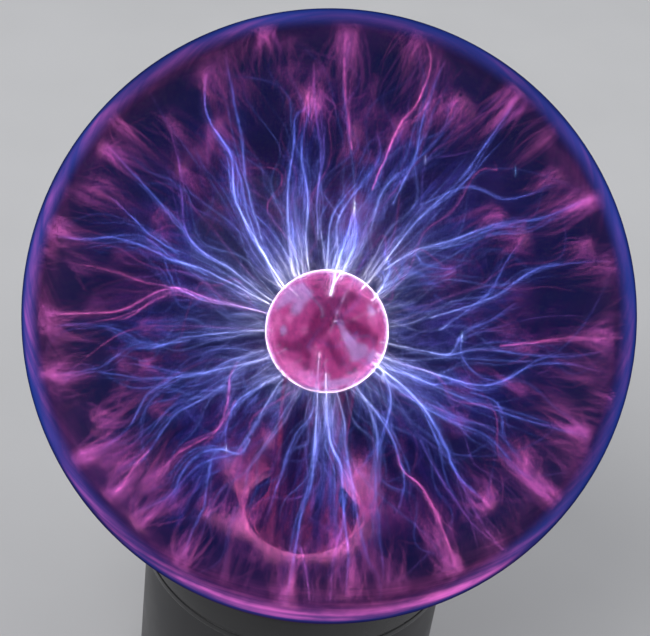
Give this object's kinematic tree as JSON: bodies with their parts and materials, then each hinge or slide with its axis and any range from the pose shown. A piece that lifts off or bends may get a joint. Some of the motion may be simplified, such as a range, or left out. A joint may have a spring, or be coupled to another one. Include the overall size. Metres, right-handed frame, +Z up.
{
  "type": "plasma ball",
  "caption": "Desk plasma ball: clear glass globe with a glowing glass electrode on a re-entrant stem, seated in a round black base with a slide switch and a dial.",
  "frame": {"origin": "on the table under the globe's axis, at the soles of the rubber feet", "axes": "+Z up along the globe's axis, the slide switch faces -Y, the power socket faces +Y"},
  "size_m": [0.2, 0.2, 0.286],
  "materials": {
    "globe_glass": "clear blown glass, dark navy where nothing glows behind it",
    "stem_glass": "clear drawn tube, dark inside",
    "electrode_glass": "thin blown glass, glowing pink",
    "electrode_coating": "conductive coating, patchy crimson",
    "red_silicone": "satin silicone sleeve",
    "clear_silicone": "milky silicone",
    "black_rubber": "matte moulded rubber",
    "black_plastic": "satin black ABS",
    "grey_plastic": "satin",
    "zinc_steel": "zinc plated",
    "nickel_plate": "bright nickel",
    "microphone_can": "drawn can with felt front",
    "board_laminate": "green solder mask",
    "ferrite": "sintered, matte",
    "bobbin_plastic": "moulded nylon",
    "copper_wire": "enamelled copper wire",
    "varnished_wire": "varnished fine wire",
    "plain_aluminium": "extruded",
    "epoxy_black": "moulded epoxy",
    "capacitor_sleeve": "shrunk sleeve",
    "capacitor_film": "dipped resin",
    "resistor_body": "lacquered",
    "red_pvc": "PVC insulation",
    "black_pvc": "PVC insulation",
    "grey_pvc": "PVC insulation",
    "yellow_pvc": "PVC insulation"
  },
  "bodies": {
    "base": {"glass_globe": "globe_glass", "glass_stem": "stem_glass", "electrode_bulb": "electrode_glass", "electrode_core": "electrode_coating", "hv_lead": "red_silicone", "stem_plug": "clear_silicone", "neck_sealant": "clear_silicone", "globe_gasket": "black_rubber", "base_housing": "black_plastic", "retaining_collar": "black_plastic", "bottom_cover": "black_plastic", "rubber_foot_1": "black_rubber", "rubber_foot_2": "black_rubber", "rubber_foot_3": "black_rubber", "rubber_foot_4": "black_rubber", "cover_screw_1": "zinc_steel", "cover_screw_2": "zinc_steel", "cover_screw_3": "zinc_steel", "cover_screw_4": "zinc_steel", "collar_screw_1": "zinc_steel", "collar_screw_2": "zinc_steel", "collar_screw_3": "zinc_steel", "mode_switch_body": "zinc_steel", "potentiometer_body": "zinc_steel", "potentiometer_nut": "nickel_plate", "microphone_capsule": "microphone_can", "dc_jack_body": "black_plastic", "dc_jack_pin": "nickel_plate", "dc_jack_nut": "nickel_plate", "circuit_board": "board_laminate", "board_screw_1": "zinc_steel", "board_screw_2": "zinc_steel", "board_screw_3": "zinc_steel", "board_screw_4": "zinc_steel", "ferrite_core_lower": "ferrite", "ferrite_core_upper": "ferrite", "core_clip": "zinc_steel", "transformer_bobbin": "bobbin_plastic", "primary_winding": "copper_wire", "secondary_winding": "varnished_wire", "heatsink": "plain_aluminium", "power_transistor": "epoxy_black", "transistor_screw": "zinc_steel", "filter_capacitor_1": "capacitor_sleeve", "filter_capacitor_2": "capacitor_sleeve", "film_capacitor": "capacitor_film", "control_chip": "epoxy_black", "resistor_1": "resistor_body", "resistor_2": "resistor_body", "power_lead_red": "red_pvc", "power_lead_black": "black_pvc", "switch_lead": "grey_pvc", "dial_lead": "yellow_pvc", "microphone_lead": "grey_pvc"},
    "switch_slider": {"mode_switch_slider": "grey_plastic"},
    "dial": {"dial_shaft": "nickel_plate", "sensitivity_dial": "black_plastic"}
  },
  "joints": [
    {"name": "mode_switch_slide", "type": "slide", "parent": "base", "child": "switch_slider", "axis": [1, 0, 0], "range_m": [-0.003, 0.003]},
    {"name": "sensitivity_dial_turn", "type": "hinge", "parent": "base", "child": "dial", "pos_m": [0.03535, -0.04213, 0.034], "axis": [0.6428, -0.766, 0], "range_deg": [-150, 150]}
  ]
}
